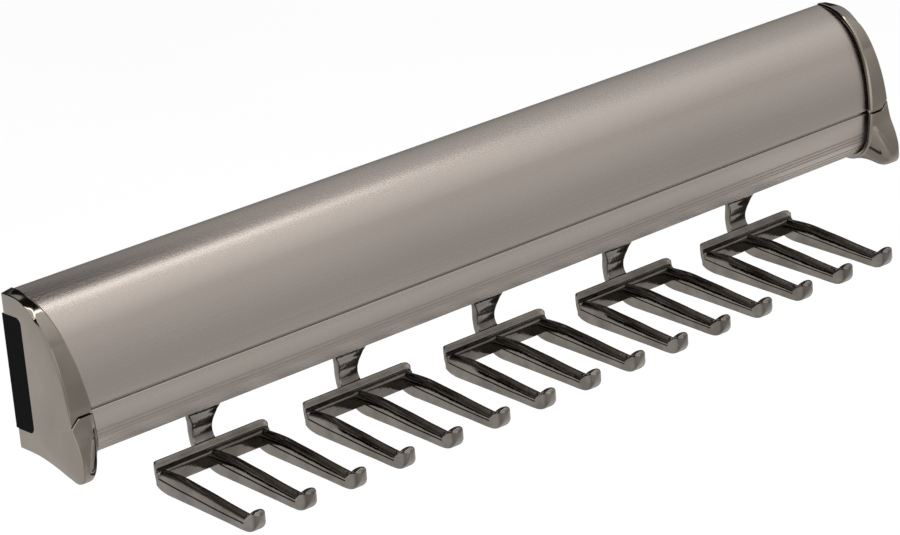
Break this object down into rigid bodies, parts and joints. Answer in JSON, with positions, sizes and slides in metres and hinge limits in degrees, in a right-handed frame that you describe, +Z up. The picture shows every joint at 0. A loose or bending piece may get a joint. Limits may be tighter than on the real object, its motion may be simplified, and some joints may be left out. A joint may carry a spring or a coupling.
{
  "type": "sliding tie rack",
  "caption": "Wall-mounted slide-out rack: a domed satin metal housing on a hidden ball-bearing slide, with three-pronged hooks for ties and belts hung below it.",
  "frame": {"origin": "on the mounting plane, at the middle of the rack's length and of the slide's height", "axes": "+X along the rack the way it pulls out, -Y from the wall to the front, +Z up"},
  "size_m": [0.36, 0.0639, 0.0767],
  "materials": {
    "black_steel": "black electrocoat",
    "bumper_rubber": "matt black",
    "zinc_steel": "bright zinc plate",
    "ball_steel": "polished hardened steel",
    "satin_aluminium": "satin warm grey anodised",
    "dark_chrome": "polished dark chrome",
    "black_chrome": "polished black chrome"
  },
  "bodies": {
    "cabinet_rail": {"outer_rail": "black_steel", "rail_bumper": "bumper_rubber"},
    "outer_ball_cage": {"outer_cage": "zinc_steel", "outer_balls": "ball_steel"},
    "middle_slide_rail": {"middle_rail": "black_steel"},
    "inner_ball_cage": {"inner_cage": "zinc_steel", "inner_balls": "ball_steel"},
    "rack": {"inner_rail": "black_steel", "rail_screws": "zinc_steel", "housing": "satin_aluminium", "carrier_strip": "zinc_steel", "hook_screws": "zinc_steel", "hook_1": "black_chrome", "hook_2": "black_chrome", "hook_3": "black_chrome", "hook_4": "black_chrome", "hook_5": "black_chrome", "end_cap_near": "dark_chrome", "end_cap_far": "dark_chrome", "cap_screws_near": "zinc_steel", "cap_screws_far": "zinc_steel"}
  },
  "joints": [
    {"name": "middle_slide", "type": "slide", "parent": "cabinet_rail", "child": "middle_slide_rail", "axis": [1, 0, 0], "range_m": [0, 0.16]},
    {"name": "rack_slide", "type": "slide", "parent": "middle_slide_rail", "child": "rack", "axis": [1, 0, 0], "range_m": [0, 0.16]},
    {"name": "outer_cage_slide", "type": "slide", "parent": "cabinet_rail", "child": "outer_ball_cage", "axis": [1, 0, 0], "range_m": [0, 0.08]},
    {"name": "inner_cage_slide", "type": "slide", "parent": "middle_slide_rail", "child": "inner_ball_cage", "axis": [1, 0, 0], "range_m": [0, 0.08]}
  ],
  "couplings": [
    {"joint": "outer_cage_slide", "follows": "middle_slide", "ratio": 0.5},
    {"joint": "inner_cage_slide", "follows": "rack_slide", "ratio": 0.5}
  ]
}
